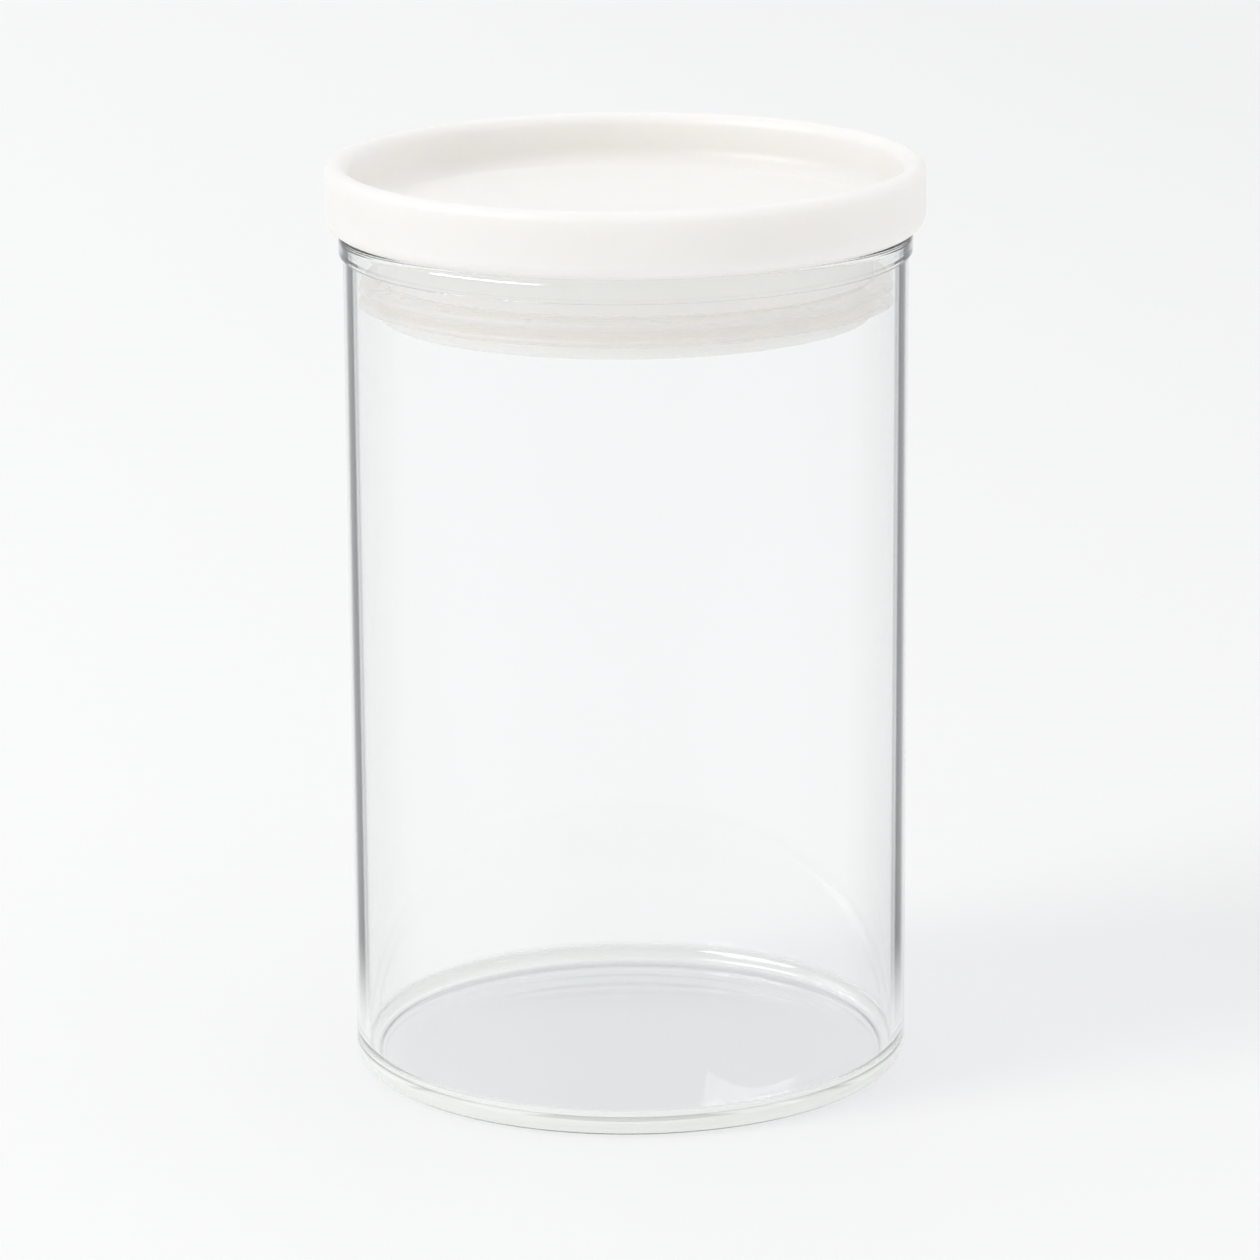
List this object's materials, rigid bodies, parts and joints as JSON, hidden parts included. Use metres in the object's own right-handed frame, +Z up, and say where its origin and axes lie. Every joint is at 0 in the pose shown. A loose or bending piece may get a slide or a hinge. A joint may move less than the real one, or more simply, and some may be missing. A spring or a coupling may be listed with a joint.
{
  "type": "lidded glass canister",
  "caption": "Straight-sided clear glass food canister with a white dished lid whose deep plug carries a soft translucent seal and lifts straight out.",
  "frame": {"origin": "centre of the jar's foot ring, on the plane that the jar stands on", "axes": "+Z up along the jar's axis, towards the lid; the object is round, so X and Y are free"},
  "size_m": [0.106, 0.106, 0.165],
  "materials": {
    "clear_glass": "clear polished heat-resistant glass",
    "white_plastic": "milky white, satin",
    "clear_seal": "translucent silicone, satin"
  },
  "bodies": {
    "jar": {"glass_jar": "clear_glass"},
    "lid": {"lid_dish": "white_plastic", "lid_plug": "white_plastic", "seal_ring": "clear_seal"}
  },
  "joints": [
    {"name": "lid_lift", "type": "slide", "parent": "jar", "child": "lid", "axis": [0, 0, 1], "range_m": [0, 0.1]}
  ]
}
